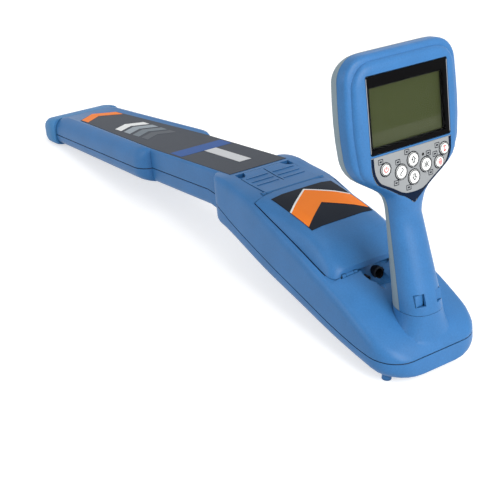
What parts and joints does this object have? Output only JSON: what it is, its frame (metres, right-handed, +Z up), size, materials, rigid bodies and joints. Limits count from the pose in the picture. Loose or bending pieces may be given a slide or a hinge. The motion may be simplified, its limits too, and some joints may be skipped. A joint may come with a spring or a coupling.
{
  "type": "cable locator",
  "caption": "Hand-held cable locator: bent antenna blade with a battery body under a hinged, latched cover, and an upright handle with display and keypad head.",
  "frame": {"origin": "middle of the underside of the box, on the floor it rests on", "axes": "+X from the foot boot towards the tail and the display's side, +Y to the right of a user who looks along the blade from the tail, +Z up"},
  "size_m": [0.6803, 0.127, 0.2812],
  "materials": {
    "blue_shell": "fine matte texture",
    "blue_boot": "fine matte texture, scuffed",
    "grey_shell": "fine matte texture",
    "gasket_rubber": "matt",
    "blade_label_film": "printed film",
    "cover_label_film": "printed film",
    "plate_metal": "satin",
    "steel": "plain",
    "dark_plastic": "plain",
    "cell_jacket": "glossy sleeve",
    "circuit_board": "solder mask",
    "coil": "varnished winding",
    "socket_plastic": "plain",
    "window_clear": "clear, polished",
    "bezel_black": "printed",
    "lcd_glass": "reflective display",
    "keypad_film": "printed film",
    "key_cap": "satin"
  },
  "bodies": {
    "root": {"upper_shell": "blue_shell", "lower_shell": "blue_shell", "shell_gasket": "gasket_rubber", "foot_boot": "blue_boot", "blade_label": "blade_label_film", "rating_plate": "plate_metal", "cover_hinge_pins": "steel", "battery_tray": "dark_plastic", "battery_cell_left": "cell_jacket", "battery_cell_right": "cell_jacket", "battery_contacts": "steel", "antenna_board": "circuit_board", "antenna_coil_foot": "coil", "antenna_coil_middle": "coil", "antenna_coil_upper": "coil", "accessory_socket": "socket_plastic", "headphone_socket": "socket_plastic", "shell_screws": "steel", "front_shell": "blue_shell", "rear_shell": "grey_shell", "head_screws": "steel", "window_lens": "window_clear", "display_bezel": "bezel_black", "lcd_panel": "lcd_glass", "main_board": "circuit_board", "speaker": "socket_plastic", "keypad_overlay": "keypad_film", "keypad_board": "circuit_board", "light_sensor": "bezel_black"},
    "cover": {"battery_cover": "blue_shell", "cover_label": "cover_label_film", "latch_pin": "steel"},
    "latch": {"latch": "blue_shell"},
    "key_power": {"key_power": "key_cap"},
    "key_wave": {"key_wave": "key_cap"},
    "key_up": {"key_up": "key_cap"},
    "key_down": {"key_down": "key_cap"},
    "key_antenna": {"key_antenna": "key_cap"},
    "key_signal": {"key_signal": "key_cap"},
    "key_depth": {"key_depth": "key_cap"}
  },
  "joints": [
    {"name": "cover_hinge", "type": "hinge", "parent": "root", "child": "cover", "pos_m": [0.24568, 0, 0.06787], "axis": [0, 1, 0], "range_deg": [0, 60]},
    {"name": "latch_hinge", "type": "hinge", "parent": "cover", "child": "latch", "pos_m": [0.12295, 0, 0.10033], "axis": [0, 1, 0], "range_deg": [0, 60]},
    {"name": "key_power_press", "type": "slide", "parent": "root", "child": "key_power", "axis": [-0.9788, 0, -0.2049], "range_m": [0, 0.0006], "stiffness_N_per_m": 2500},
    {"name": "key_wave_press", "type": "slide", "parent": "root", "child": "key_wave", "axis": [-0.9788, 0, -0.2049], "range_m": [0, 0.0006], "stiffness_N_per_m": 2500},
    {"name": "key_up_press", "type": "slide", "parent": "root", "child": "key_up", "axis": [-0.9788, 0, -0.2049], "range_m": [0, 0.0006], "stiffness_N_per_m": 2500},
    {"name": "key_down_press", "type": "slide", "parent": "root", "child": "key_down", "axis": [-0.9788, 0, -0.2049], "range_m": [0, 0.0006], "stiffness_N_per_m": 2500},
    {"name": "key_antenna_press", "type": "slide", "parent": "root", "child": "key_antenna", "axis": [-0.9788, 0, -0.2049], "range_m": [0, 0.0006], "stiffness_N_per_m": 2500},
    {"name": "key_signal_press", "type": "slide", "parent": "root", "child": "key_signal", "axis": [-0.9788, 0, -0.2049], "range_m": [0, 0.0006], "stiffness_N_per_m": 2500},
    {"name": "key_depth_press", "type": "slide", "parent": "root", "child": "key_depth", "axis": [-0.9788, 0, -0.2049], "range_m": [0, 0.0006], "stiffness_N_per_m": 2500}
  ]
}
